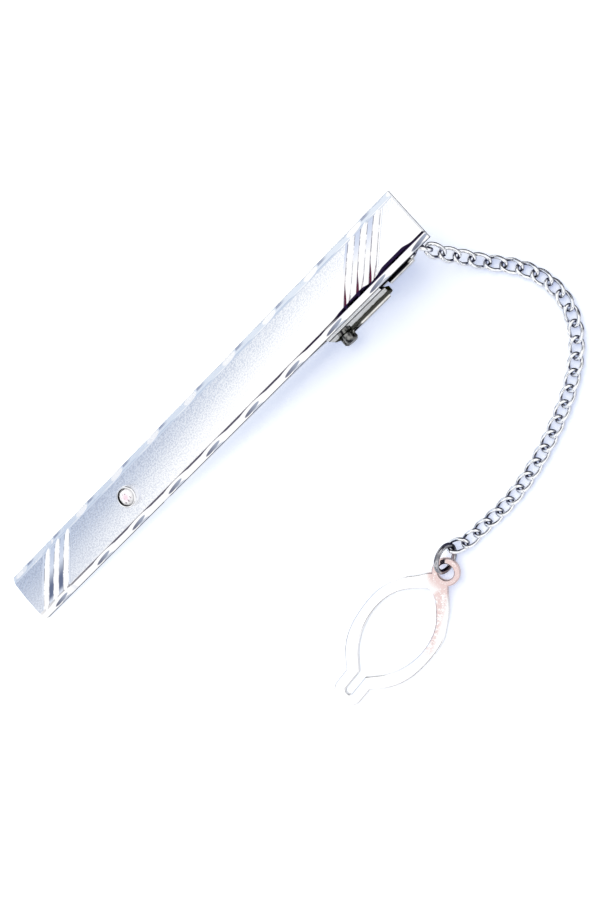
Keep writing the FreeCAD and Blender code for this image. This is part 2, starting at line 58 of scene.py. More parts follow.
# the bar's own frame, from the flat seat on its back
seat = next(m for m in frame["record"]["mounts"] if m["name"] == "tie_seat")
SEAT_FROM_TIP = 10.0 * MM
BAR_LEAN = math.atan2(seat["axis"][0], -seat["axis"][2])
BAR_TIP = Vector(seat["pos_m"]) - Vector((math.cos(BAR_LEAN), 0, math.sin(BAR_LEAN))) * SEAT_FROM_TIP

# the bar's layout in mm, in its own frame
BAR_HALF = 2.825
POLISHED_EDGE = 0.77
FIELD_FLOOR = 0.72
GROOVE_SLANT, GROOVE_MARGIN, GROOVE_SPAN = 1.13, 0.75, 3.4
FAR_GROOVE, CLIP_GROOVE = 3.53, 50.43
GROOVE_PITCH, GROOVE_HALF = 1.7, 0.46
LENS_PITCH, NEAR_LENSES, OTHER_LENSES = 5.9, (51.6, 3.05, 57.1), (53.3, 1.4, 58.6)
STONE_FROM_TIP, STONE_SEAT, STONE_RADIUS = 17.65, 1.42, 0.90

# corners of the spring's mesh nearer than this are one corner, in metres
SAME_CORNER = 1e-7

# the loop's own frame: its eye and the way it points, from the opening in it
opening = next(m for m in frame["record"]["mounts"] if m["name"] == "button_opening")
LOOP_HEADING = math.radians(189.6)
OPENING_FROM_EYE = 8.1 * MM
LOOP_WAY = Vector((math.cos(LOOP_HEADING), math.sin(LOOP_HEADING), 0))
LOOP_EYE = Vector(opening["pos_m"]) - LOOP_WAY * OPENING_FROM_EYE

# the photograph's viewpoint
TIP_ON_TABLE = Vector((BAR_TIP.x, BAR_TIP.y, 0))
CAMERA_PLACE = TIP_ON_TABLE + Vector((77.43, -23.00, 131.42)) * MM
CAMERA_AIM = TIP_ON_TABLE + Vector((33.37, -8.13, 0)) * MM
IMAGE_UP_DEG = 46.61
LENS_MM, SENSOR_MM = 56.87, 36.0


def bar_place(along, across, out):
    """A place given in mm in the bar's own frame, in the part's frame."""
    ahead = Vector((math.cos(BAR_LEAN), 0, math.sin(BAR_LEAN)))
    face = Vector((-math.sin(BAR_LEAN), 0, math.cos(BAR_LEAN)))
    return BAR_TIP + (ahead * along + Vector((0, across, 0)) + face * out) * MM


# small helpers for node trees

def tree_of(owner):
    owner.use_nodes = True
    owner.node_tree.nodes.clear()
    return owner.node_tree


def add(tree, kind, inputs=(), **settings):
    """A node with its settings, and its inputs given as values or as sockets to link from."""
    node = tree.nodes.new(kind)
    for key, value in settings.items():
        setattr(node, key, value)
    for key, value in dict(inputs).items():
        if isinstance(value, bpy.types.NodeSocket):
            tree.links.new(value, node.inputs[key])
        else:
            node.inputs[key].default_value = value
    return node


def math_node(tree, operation, a, b=0.0, c=0.0):
    return add(tree, "ShaderNodeMath", {0: a, 1: b, 2: c}, operation=operation).outputs[0]


def ramp(tree, value, low, high, out_low=0.0, out_high=1.0):
    """A smooth step of a value between two limits."""
    limits = {"Value": value, "From Min": low, "From Max": high, "To Min": out_low, "To Max": out_high}
    return add(tree, "ShaderNodeMapRange", limits, interpolation_type="SMOOTHSTEP").outputs[0]


def blend_colour(tree, share, first, second):
    node = add(tree, "ShaderNodeMix", data_type="RGBA")
    for socket, value in zip((node.inputs[0], node.inputs[6], node.inputs[7]), (share, first, second)):
        if isinstance(value, bpy.types.NodeSocket):
            tree.links.new(value, socket)
        else:
            socket.default_value = value
    return node.outputs[2]


def in_mm(tree):
    """Object coordinates in mm."""
    place = add(tree, "ShaderNodeTexCoord").outputs["Object"]
    return add(tree, "ShaderNodeMapping", {"Vector": place, "Scale": (1 / MM,) * 3}).outputs[0]


def own_frame(tree, origin, turn):
    """Object coordinates in mm about an origin, with the axes turned."""
    place = add(tree, "ShaderNodeTexCoord").outputs["Object"]
    axes = {"Vector": place, "Location": origin, "Rotation": turn, "Scale": (MM,) * 3}
    return add(tree, "ShaderNodeMapping", axes, vector_type="TEXTURE").outputs[0]


def noise(tree, where, per_mm, detail=2.0, roughness=0.5):
    return add(tree, "ShaderNodeTexNoise", {"Vector": where, "Scale": per_mm, "Detail": detail,
                                            "Roughness": roughness}).outputs["Fac"]


def all_of(tree, *shares):
    """The product of several shares."""
    total = shares[0]
    for share in shares[1:]:
        total = math_node(tree, "MULTIPLY", total, share)
    return total


def oval(tree, x, y, half_x, half_y):
    """1 inside an oval about the origin."""
    x, y = math_node(tree, "DIVIDE", x, half_x), math_node(tree, "DIVIDE", y, half_y)
    reach = math_node(tree, "MULTIPLY_ADD", x, x, math_node(tree, "MULTIPLY", y, y))
    return ramp(tree, reach, 1.2, 0.8)


def split(tree, vector):
    """The x, y and z of a vector."""
    return add(tree, "ShaderNodeSeparateXYZ", {0: vector}).outputs


def along(tree, vector, way):
    """How far a vector reaches along a direction."""
    return add(tree, "ShaderNodeVectorMath", {0: vector, 1: way}, operation="DOT_PRODUCT").outputs["Value"]


def from_axis(tree, own):
    """The distance from the z axis of a frame."""
    flat = add(tree, "ShaderNodeVectorMath", {0: own, 1: (1, 1, 0)}, operation="MULTIPLY").outputs[0]
    return add(tree, "ShaderNodeVectorMath", {0: flat}, operation="LENGTH").outputs["Value"]


def facing(tree):
    """The way a surface faces, in the part's frame."""
    return add(tree, "ShaderNodeTexCoord").outputs["Normal"]


def bumped(tree, height, depth_mm):
    relief = {"Height": height, "Strength": 1.0, "Distance": depth_mm * MM}
    return add(tree, "ShaderNodeBump", relief).outputs[0]


def metal_surface(tree, colour, rough, normal, rim=WHITE):
    """Bare metal. The rim colour is what it keeps of its shine at a glancing view."""
    inputs = {"Base Color": colour, "Roughness": rough, "Metallic": 1.0, "Specular Tint": rim,
              "Normal": normal}
    surface = add(tree, "ShaderNodeBsdfPrincipled", inputs)
    add(tree, "ShaderNodeOutputMaterial", {"Surface": surface.outputs[0]})
    return surface


# marks on the bar, most of them painted reflection and painted shade, in mm in its own frame: a pair says
# where a mark is gone and where it is full
LENS_STEPS = 7
# painted reflection on the long edges: the near edge's dark band and grey lens cuts, the other edge's
# blue-grey bevel and darker spots
STRIP_STARTS, STRIP_INNER, STRIP_OUTER = (44, 47), (0.55, 0.59), (0.80, 0.76)
STRIP_BROADENS, STRIP_NARROWS, STRIP_OFF_LENS, STRIP_EXTRA = (44, 51), (57.9, 55.5), (0.2, 1.6), 0.25
NEAR_LENS_INSIDE, NEAR_LENS_SLANT, NEAR_LENS_HALVES, NEAR_LENS_TONE = 0.29, 0.09, (1.15, 0.15), (-0.9, 0.9)
OTHER_LENS_INSIDE, OTHER_LENS_HALVES, PAINTED_BEVEL_REFLECTION = 0.30, (0.95, 0.36), (0.64, 0.58)
SPOT_STARTS, SPOT_ENDS, SPOT_INNER = (1.0, 1.15), (2.5, 1.5), (0.36, 0.22)
GROOVE_REACH, LAND_SOFT, PAINTED_BRIM_SHADE = 2.05, 0.08, (0.06, 0.03)
FAR_LAND_STARTS, FAR_LAND_ENDS = (0.7, -0.9), (-2.05, -1.5)
CLIP_LANDS, CLIP_LAND_RISE = (4.0, 3.7), (-0.4, 1.8)
# a painted maroon reflection line along one side of each groove by the clip: how far it runs, its width and
# its edges
MAROON_LINE_RUN, MAROON_LINE_WIDTH, MAROON_LINE_STARTS, MAROON_LINE_ENDS = (-0.1, -2.1), 0.36, (-0.09, -0.03), (0.0, 0.05)
FIELD_SOFT, FLOOR_SOFT = 0.03, 0.02
# painted reflection on the satin field: how it slants and runs along the bar, and where its grain shows
# speckled
PAINTED_REFLECTION_SLANT, PAINTED_REFLECTION_RUN, SPECKLED_REFLECTION_RUN = 6.0, (43, -3), (58, 18)
# painted shade on the bar's sides and back: where it starts at the edge, where it deepens along the bar, and
# where the back begins
BRINK, BRINK_DARKENS, SHADED_BACK = (0.03, 0.015), (26, 46), (0.30, 0.26)


def along_lens(tree, u, regular, first, last):
    """How far along the bar a place lies from the nearest lens cut of an edge, in mm."""
    late = math_node(tree, "GREATER_THAN", u, (regular + last) / 2)
    early = math_node(tree, "LESS_THAN", u, (first + regular - LENS_STEPS * LENS_PITCH) / 2)
    middle = math_node(tree, "SUBTRACT", 1.0, math_node(tree, "ADD", late, early))
    steady = math_node(tree, "SUBTRACT", u, regular)
    steady = math_node(tree, "WRAP", steady, LENS_PITCH / 2, -LENS_PITCH / 2)
    away = math_node(tree, "MULTIPLY", steady, middle)
    for gate, place in ((late, last), (early, first)):
        away = math_node(tree, "MULTIPLY_ADD", gate, math_node(tree, "SUBTRACT", u, place), away)
    return away


def mark_edges(tree, colour, u, v, inside):
    """The burnished long edges, with painted reflection: grey lens cuts and a dark band on the near one,
    a blue-grey bevel with bright lens cuts and darker spots between them on the other."""
    near, other = math_node(tree, "LESS_THAN", v, 0.0), math_node(tree, "GREATER_THAN", v, 0.0)
    away = along_lens(tree, u, *NEAR_LENSES)
    wide = all_of(tree, ramp(tree, u, *STRIP_BROADENS, 0.0, STRIP_EXTRA), ramp(tree, u, *STRIP_NARROWS),
                  ramp(tree, math_node(tree, "ABSOLUTE", away), *STRIP_OFF_LENS))
    dark_reflection_strip = all_of(tree, near, ramp(tree, u, *STRIP_STARTS), ramp(tree, inside, *STRIP_INNER),
                   ramp(tree, math_node(tree, "SUBTRACT", inside, wide), *STRIP_OUTER))
    # painted reflection: a dark band along the near edge by the clip end, broader between the lens cuts
    colour = blend_colour(tree, dark_reflection_strip, colour, (0.018, 0.010, 0.04, 1))
    # painted reflection: grey lens cuts on the near edge, shading from dark to lighter along each
    slanted = math_node(tree, "MULTIPLY_ADD", away, -NEAR_LENS_SLANT, inside)
    slanted = math_node(tree, "SUBTRACT", slanted, NEAR_LENS_INSIDE)
    lens = all_of(tree, near, oval(tree, away, slanted, *NEAR_LENS_HALVES))
    painted_reflection = ramp(tree, away, *NEAR_LENS_TONE)
    grey = blend_colour(tree, painted_reflection, (0.16, 0.17, 0.23, 1), (0.34, 0.38, 0.48, 1))
    colour = blend_colour(tree, lens, colour, grey)
    away = along_lens(tree, u, *OTHER_LENSES)
    bright = oval(tree, away, math_node(tree, "SUBTRACT", inside, OTHER_LENS_INSIDE), *OTHER_LENS_HALVES)
    # painted reflection: the other edge's bevel blue-grey, except on its bright lens cuts
    painted_dimming = all_of(tree, other, ramp(tree, inside, *PAINTED_BEVEL_REFLECTION), math_node(tree, "SUBTRACT", 1.0, bright))
    colour = blend_colour(tree, painted_dimming, colour, (0.72, 0.78, 0.87, 1))
    # painted reflection: darker blue-grey spots between the lens cuts on the other edge
    spot = all_of(tree, other, ramp(tree, away, *SPOT_STARTS), ramp(tree, away, *SPOT_ENDS),
                  ramp(tree, inside, *SPOT_INNER))
    return blend_colour(tree, spot, colour, (0.36, 0.40, 0.52, 1))


def mark_grooves(tree, colour, across, v, line_breaks):
    """Painted reflection and painted shade in the grooves: a maroon painted reflection line at the low ends by
    the clip, blue-grey painted reflection on the lands, painted shade low on the far lands, and thin broken
    painted shade outlines.
    """
    for first, far in ((FAR_GROOVE, True), (CLIP_GROOVE, False)):
        place = math_node(tree, "SUBTRACT", across, first)
        zone = all_of(tree, math_node(tree, "GREATER_THAN", place, -GROOVE_PITCH / 2),
                      math_node(tree, "LESS_THAN", place, GROOVE_SPAN + GROOVE_PITCH / 2))
        side = math_node(tree, "WRAP", place, GROOVE_PITCH / 2, -GROOVE_PITCH / 2)
        reach = math_node(tree, "ABSOLUTE", side)
        within = math_node(tree, "LESS_THAN", math_node(tree, "ABSOLUTE", v), GROOVE_REACH)
        land = all_of(tree, zone, within, ramp(tree, reach, GROOVE_HALF, GROOVE_HALF + LAND_SOFT))
        if far:
            between = all_of(tree, math_node(tree, "GREATER_THAN", place, 0.0),
                             math_node(tree, "LESS_THAN", place, GROOVE_SPAN))
            # painted reflection: the far lands blue-grey, with painted shade low on them
            low = all_of(tree, land, between, ramp(tree, v, *FAR_LAND_STARTS), ramp(tree, v, *FAR_LAND_ENDS))
            colour = blend_colour(tree, land, colour, (0.72, 0.77, 0.87, 1))
            colour = blend_colour(tree, low, colour, (0.13, 0.16, 0.26, 1))
        else:
            # painted reflection: blue-grey high on the lands by the clip
            high = all_of(tree, land, ramp(tree, place, *CLIP_LANDS), ramp(tree, v, *CLIP_LAND_RISE))
            colour = blend_colour(tree, high, colour, (0.62, 0.68, 0.83, 1))
            # painted reflection: a thin maroon line along one side of each groove by the clip, widening
            # towards the low end
            start = math_node(tree, "ADD", side, GROOVE_HALF)
            width = ramp(tree, v, *MAROON_LINE_RUN, 0.0, MAROON_LINE_WIDTH)
            painted_maroon_reflection = all_of(tree, zone, within, ramp(tree, start, *MAROON_LINE_STARTS),
                           ramp(tree, math_node(tree, "SUBTRACT", width, start), *MAROON_LINE_ENDS))
            colour = blend_colour(tree, painted_maroon_reflection, colour, (0.10, 0.015, 0.04, 1))
        # painted shade: thin broken outlines along the groove brims
        brim = math_node(tree, "ABSOLUTE", math_node(tree, "SUBTRACT", reach, GROOVE_HALF))
        line = all_of(tree, zone, within, ramp(tree, brim, *PAINTED_BRIM_SHADE), ramp(tree, line_breaks, 0.42, 0.55))
        colour = blend_colour(tree, line, colour, (0.22, 0.23, 0.29, 1))
    return colour


def bar_finish():
    """Sandblasted field, polished edges and grooves, and sides and back darkened by painted shade, told apart
    by place on the bar, with painted reflection on the field, edges and grooves.
    """
    material = bpy.data.materials.new("satin_and_polished_bar")
    tree = tree_of(material)
    own = own_frame(tree, BAR_TIP, (0, -BAR_LEAN, 0))
    u, v, w = split(tree, own)
    inside = math_node(tree, "SUBTRACT", BAR_HALF, math_node(tree, "ABSOLUTE", v))
    field = all_of(tree, ramp(tree, inside, POLISHED_EDGE - FIELD_SOFT, POLISHED_EDGE + FIELD_SOFT),
                   ramp(tree, w, FIELD_FLOOR, FIELD_FLOOR + FLOOR_SOFT))
    across = math_node(tree, "MULTIPLY_ADD", v, -GROOVE_SLANT, u)
    for first in (FAR_GROOVE, CLIP_GROOVE):
        middle = math_node(tree, "ABSOLUTE", math_node(tree, "SUBTRACT", across, first + GROOVE_SPAN / 2))
        reach = GROOVE_SPAN / 2 + GROOVE_MARGIN
        field = all_of(tree, field, ramp(tree, middle, reach - FIELD_SOFT, reach + FIELD_SOFT))
    grain = noise(tree, own, 6.0, 2.0, 0.6)
    streak = add(tree, "ShaderNodeMapping", {"Vector": own, "Scale": (0.6, 14.0, 14.0)}).outputs[0]
    polish = noise(tree, streak, 1.0, 3.0)
    # painted reflection: the satin field turns blue-grey towards the far end of its upper side, where its
    # grain shows speckled darker
    slanted = math_node(tree, "MULTIPLY_ADD", v, -PAINTED_REFLECTION_SLANT, u)
    painted_reflection = ramp(tree, slanted, *PAINTED_REFLECTION_RUN)
    grain_in_painted_reflection = all_of(tree, ramp(tree, grain, 0.60, 0.36), ramp(tree, slanted, *SPECKLED_REFLECTION_RUN))
    satin_with_painted_reflection = blend_colour(tree, painted_reflection, WHITE, (0.64, 0.69, 0.79, 1))
    speckle_painted_reflection = blend_colour(tree, painted_reflection, (0.76, 0.79, 0.86, 1), (0.52, 0.56, 0.66, 1))
    satin_with_painted_reflection = blend_colour(tree, grain_in_painted_reflection, satin_with_painted_reflection, speckle_painted_reflection)
    shine_colour = blend_colour(tree, polish, (0.93, 0.93, 0.95, 1), (0.98, 0.98, 0.98, 1))
    colour = blend_colour(tree, field, shine_colour, satin_with_painted_reflection)
    colour = mark_grooves(tree, colour, across, v, noise(tree, own, 1.3, 3.0, 0.7))
    colour = mark_edges(tree, colour, u, v, inside)
    # painted shade on the bar's sides, deepening towards the clip end, with less shine at a glancing view
    brink = ramp(tree, inside, *BRINK)
    edge = blend_colour(tree, ramp(tree, u, *BRINK_DARKENS), (0.30, 0.30, 0.34, 1), (0.03, 0.03, 0.06, 1))
    colour = blend_colour(tree, brink, colour, edge)
    # painted shade on the bar's back
    colour = blend_colour(tree, ramp(tree, w, *SHADED_BACK), colour, (0.05, 0.05, 0.06, 1))
    satin_rough = ramp(tree, grain, 0.3, 0.7, 0.13, 0.20)
    shine_rough = ramp(tree, polish, 0.3, 0.7, 0.05, 0.11)
    rougher = all_of(tree, field, math_node(tree, "SUBTRACT", satin_rough, shine_rough))
    rough = math_node(tree, "ADD", shine_rough, rougher)
    normal = bumped(tree, all_of(tree, grain, field), 0.023)
    metal_surface(tree, colour, rough, normal, blend_colour(tree, brink, WHITE, (0.3, 0.3, 0.32, 1)))
    return material


# painted shade on the fittings, in mm in the bar's own frame, and fine rubbing marks: per mm, detail and
# roughness
CHEEK_SHADE_TOP, CHEEK_SHADE_FOOT, GAP_SHADE_FOOT, GAP_SHADE_TOP = (-1.15, -1.45), (-3.75, -3.55), (-0.66, -0.58), (-0.34, -0.42)
STRIPE_STARTS, STRIPE_ENDS, STRIPE_SIDE = (51.2, 51.4), (53.95, 53.75), (-2.60, -2.53)
RUBBING = (11.0, 3.0, 0.65)


def polished_finish(name, dark, light, rough, per_mm=0.8):
    """Plated metal: cloudy colour between two greys, with fine rubbing marks in its gloss."""
    material = bpy.data.materials.new(name)
    tree = tree_of(material)
    place = in_mm(tree)
    cloud = noise(tree, place, per_mm, 3.0)
    rub = noise(tree, place, *RUBBING)
    colour = blend_colour(tree, ramp(tree, cloud, 0.35, 0.65), (*dark, 1), (*light, 1))
    metal_surface(tree, colour, ramp(tree, rub, 0.3, 0.7, rough, rough + 0.09), bumped(tree, rub, 0.0012))
    return material


def bracket_finish():
    """Plated sheet, with olive painted shade on the straight lower part of its cheek and a dark painted shade
    line just under the bar.
    """
    material = bpy.data.materials.new("bracket_sheet_painted_shade")
    tree = tree_of(material)
    own = own_frame(tree, BAR_TIP, (0, -BAR_LEAN, 0))
    _, _, height = split(tree, own)
    cloud = noise(tree, own, 1.4, 4.0, 0.6)
    rub = noise(tree, own, *RUBBING)
    plate = blend_colour(tree, ramp(tree, cloud, 0.35, 0.65), (0.78, 0.78, 0.76, 1), (0.94, 0.94, 0.93, 1))
    # painted shade: a dark olive band on the cheek's straight lower part, with less shine there at a glancing
    # view
    wavy = math_node(tree, "MULTIPLY_ADD", cloud, 0.5, height)
    painted_cheek_shade = all_of(tree, ramp(tree, wavy, *CHEEK_SHADE_TOP), ramp(tree, height, *CHEEK_SHADE_FOOT))
    colour = blend_colour(tree, painted_cheek_shade, plate, (0.10, 0.10, 0.08, 1))
    # painted shade: a dark line on the cheek just under the bar
    painted_gap_shade = all_of(tree, ramp(tree, height, *GAP_SHADE_FOOT), ramp(tree, height, *GAP_SHADE_TOP))
    colour = blend_colour(tree, painted_gap_shade, colour, (0.02, 0.02, 0.035, 1))
    rim = blend_colour(tree, painted_cheek_shade, WHITE, (0.25, 0.25, 0.22, 1))
    metal_surface(tree, colour, ramp(tree, rub, 0.3, 0.7, 0.06, 0.16), bumped(tree, rub, 0.0012), rim)
    return material


def jaw_finish():
    """Plated sheet, with black painted shade along the top of the thumb tail, bright on its low edge and
    curled end.
    """
    material = bpy.data.materials.new("plated_jaw_sheet")
    tree = tree_of(material)
    own = own_frame(tree, BAR_TIP, (0, -BAR_LEAN, 0))
    u, v, _ = split(tree, own)
    cloud = noise(tree, own, 0.9, 3.0)
    rub = noise(tree, own, *RUBBING)
    plate = blend_colour(tree, ramp(tree, cloud, 0.35, 0.65), (0.78, 0.77, 0.74, 1), (0.95, 0.94, 0.92, 1))
    # painted shade: black along the top of the thumb tail, with less shine at a glancing view
    painted_tail_shade = all_of(tree, ramp(tree, u, *STRIPE_STARTS), ramp(tree, u, *STRIPE_ENDS),
                    ramp(tree, v, *STRIPE_SIDE))
    colour = blend_colour(tree, painted_tail_shade, plate, (0.012, 0.012, 0.02, 1))
    rim = blend_colour(tree, painted_tail_shade, WHITE, (0.2, 0.2, 0.2, 1))
    metal_surface(tree, colour, ramp(tree, rub, 0.3, 0.7, 0.07, 0.16), bumped(tree, rub, 0.0012), rim)
    return material


# the height in mm under which the chain's wire gets painted shade, and the way its side with painted shade
# faces
PAINTED_SHADE_BELOW, SHADED_SIDE_WAY = (0.34, 0.16), (0.93, 0.37, 0)


def wire_finish(name, dark, light, flank, low_gets_shade):
    """Round wire, bright on its crown, with painted shade on its flanks, low by the table and on one side."""
    material = bpy.data.materials.new(name)
    tree = tree_of(material)
    place = in_mm(tree)
    cloud = noise(tree, place, 1.2, 3.0)
    rub = noise(tree, place, *RUBBING)
    colour = blend_colour(tree, ramp(tree, cloud, 0.35, 0.65), (*dark, 1), (*light, 1))
    _, _, upward = split(tree, facing(tree))
    # painted shade on the flanks, where the wire faces sideways
    painted_flank_shade = ramp(tree, math_node(tree, "MULTIPLY_ADD", cloud, 0.25, upward), 0.62, 0.36)
    # painted shade low by the table
    if low_gets_shade:
        _, _, height = split(tree, place)
        painted_dimming = ramp(tree, math_node(tree, "MULTIPLY_ADD", cloud, 0.2, height), *PAINTED_SHADE_BELOW)
        painted_flank_shade = math_node(tree, "MAXIMUM", painted_flank_shade, painted_dimming)
    colour = blend_colour(tree, painted_flank_shade, colour, (*flank, 1))
    # painted shade on the side that faces one way, with less shine at a glancing view
    outward = along(tree, facing(tree), SHADED_SIDE_WAY)
    painted_side_shade = ramp(tree, math_node(tree, "MULTIPLY_ADD", cloud, 0.5, outward), 0.78, 1.02)
    colour = blend_colour(tree, painted_side_shade, colour, (0.04, 0.04, 0.065, 1))
    rim = blend_colour(tree, painted_side_shade, WHITE, (0.3, 0.3, 0.3, 1))
    metal_surface(tree, colour, ramp(tree, rub, 0.3, 0.7, 0.05, 0.12), bumped(tree, rub, 0.001), rim)
    return material


# the cup's painted shade inside and its outer wall with painted light, by distance from its axis in mm
CUP_INSIDE, CUP_WALL = (0.95, 0.935), (0.97, 1.0)


def cup_finish():
    """Bright turned cup, with painted shade inside, and a rougher outer wall that glows a little as painted
    light, as if lit by the bar.
    """
    material = bpy.data.materials.new("bright_cup")
    tree = tree_of(material)
    own = own_frame(tree, bar_place(STONE_FROM_TIP, 0, STONE_SEAT), (0, -BAR_LEAN, 0))
    out = from_axis(tree, own)
    rings = add(tree, "ShaderNodeMapping", {"Vector": own, "Scale": (1, 1, 20)}).outputs[0]
    turned = noise(tree, rings, 2.0, 3.0)
    bright = blend_colour(tree, turned, (0.86, 0.86, 0.89, 1), (0.97, 0.97, 0.98, 1))
    # painted shade inside the cup, round the stone
    colour = blend_colour(tree, ramp(tree, out, *CUP_INSIDE), bright, (0.03, 0.03, 0.04, 1))
    _, _, upward = split(tree, facing(tree))
    wall = all_of(tree, ramp(tree, upward, 0.45, 0.25), ramp(tree, out, *CUP_WALL))
    rough = math_node(tree, "MULTIPLY_ADD", wall, 0.4, ramp(tree, turned, 0.3, 0.7, 0.04, 0.10))
    surface = metal_surface(tree, colour, rough, bumped(tree, turned, 0.001))
    # painted light: the outer wall glows a little
    surface.inputs["Emission Color"].default_value = WHITE
    tree.links.new(math_node(tree, "MULTIPLY", wall, 0.22), surface.inputs["Emission Strength"])
    return material


# pink places on the loop, in mm in its own frame
NECK_RUN, NECK_SLANT, NECK_SIDE = (2.4, 1.2), 0.8, (-2.6, -1.9)
BAND_RUN, BAND_SIDE, BAND_SLANT, BAND_INNER = (8.5, 6.0), (0.2, 0.7), 0.40, (1.3, 0.7)


def loop_finish():
    """Polished plate, dusty pink in patches round the eye and on the inner half of one band."""
    material = bpy.data.materials.new("pink_patched_loop_plate")
    tree = tree_of(material)
    place = in_mm(tree)
    own = own_frame(tree, LOOP_EYE, (0, 0, LOOP_HEADING))
    out, aside, _ = split(tree, own)
    patch = noise(tree, place, 2.4, 4.0, 0.7)
    side = ramp(tree, math_node(tree, "MULTIPLY_ADD", out, -NECK_SLANT, aside), *NECK_SIDE)
    neck = all_of(tree, ramp(tree, out, *NECK_RUN), ramp(tree, patch, 0.25, 0.5), side)
    inner = ramp(tree, math_node(tree, "MULTIPLY_ADD", out, -BAND_SLANT, aside), *BAND_INNER)
    band = all_of(tree, ramp(tree, out, *BAND_RUN), ramp(tree, aside, *BAND_SIDE), inner,
                  ramp(tree, patch, 0.36, 0.58))
    silver = blend_colour(tree, noise(tree, place, 0.7), (0.97, 0.97, 0.98, 1), WHITE)
    pink = blend_colour(tree, patch, (0.66, 0.44, 0.42, 1), (0.92, 0.78, 0.77, 1))
    colour = blend_colour(tree, math_node(tree, "MAXIMUM", neck, band), silver, pink)
    rub = noise(tree, place, 9.0, 3.0, 0.65)
    metal_surface(tree, colour, ramp(tree, rub, 0.3, 0.7, 0.06, 0.15), bumped(tree, patch, 0.002))
    return material


# the stone's marks, by distance from its axis in mm, and the side its painted shade edge is on
HEART, DARK_SPECK_RING, DARK_EDGE, DARK_SIDE = (0.75, 0.35), (0.66, 0.56), (0.72, 0.78), (-0.83, 0.56, 0)


def stone_finish():
    """Milky crystal, rose at its heart, with a few dark specks of painted reflection, a broken dark edge of
    painted shade on one side, and a faint glow of painted light.
    """
    material = bpy.data.materials.new("clear_crystal")
    tree = tree_of(material)
    own = own_frame(tree, bar_place(STONE_FROM_TIP, 0, STONE_SEAT), (0, -BAR_LEAN, 0))
    out, side = from_axis(tree, own), along(tree, own, DARK_SIDE)
    cloud = noise(tree, own, 2.2, 3.0, 0.6)
    speck = noise(tree, own, 4.2, 1.0)
    heart = ramp(tree, math_node(tree, "MULTIPLY_ADD", cloud, 0.5, out), *HEART)
    colour = blend_colour(tree, heart, (0.99, 0.98, 0.98, 1), (0.90, 0.68, 0.75, 1))
    # painted reflection: a few dark specks
    painted_dark_speck = all_of(tree, ramp(tree, speck, 0.60, 0.64), ramp(tree, out, *DARK_SPECK_RING))
    colour = blend_colour(tree, painted_dark_speck, colour, (0.30, 0.20, 0.25, 1))
    # painted shade: a broken dark edge on one side, by the cup
    edge = all_of(tree, ramp(tree, out, *DARK_EDGE), ramp(tree, side, 0.02, 0.14),
                  ramp(tree, cloud, 0.43, 0.50))
    colour = blend_colour(tree, edge, colour, (0.02, 0.02, 0.03, 1))
    # painted light: the stone glows faintly in its own colour
    crystal = {"Base Color": colour, "Roughness": 0.02, "IOR": 1.9, "Transmission Weight": 0.08,
               "Emission Color": colour, "Emission Strength": 0.14}
    surface = add(tree, "ShaderNodeBsdfPrincipled", crystal)
    add(tree, "ShaderNodeOutputMaterial", {"Surface": surface.outputs[0]})
    return material


finishes = {
    "front_bar": bar_finish(),
    "stone_bezel": cup_finish(),
    "bracket": bracket_finish(),
    "jaw": jaw_finish(),
    "spring": polished_finish("drawn_spring_wire", (0.48, 0.48, 0.50), (0.62, 0.62, 0.64), 0.2, 2.0),
    # the pin: near black as painted shade, with lighter cloudy patches as painted highlights
    "pin": polished_finish("pin_painted_shade_and_highlights", (0.012, 0.012, 0.014), (0.30, 0.30, 0.29), 0.05, 2.2),
    "chain": wire_finish("plated_chain_wire", (0.88, 0.90, 0.95), (0.98, 0.99, 1.0), (0.2, 0.21, 0.3), True),
    "jump": wire_finish("dark_ring_wire", (0.22, 0.22, 0.24), (0.55, 0.55, 0.58), (0.04, 0.04, 0.05), False),
    "loop": loop_finish(),
    "stone": stone_finish(),
}
kinds = {"front_bar": "front_bar", "stone_bezel": "stone_bezel", "stone": "stone", "hinge_bracket": "bracket",
         "hinge_pin": "pin", "jaw_lever": "jaw", "jaw_spring": "spring", "jump_ring": "jump",
         "button_loop": "loop"}
for name, piece in frame["nodes"].items():
    piece.data.materials.clear()
    piece.data.materials.append(finishes[kinds.get(name, "chain")])


# the stone: each ring's reach as a share of the radius, and its height over the girdle's foot in mm

TABLE_SHARE, KITE_SHARE, PAVILION_SHARE = 0.56, 0.822, 0.333
TABLE_HEIGHT, KITE_HEIGHT, GIRDLE_HEIGHT, PAVILION_HEIGHT, POINT_HEIGHT = 0.37, 0.234, 0.07, -0.291, -0.42


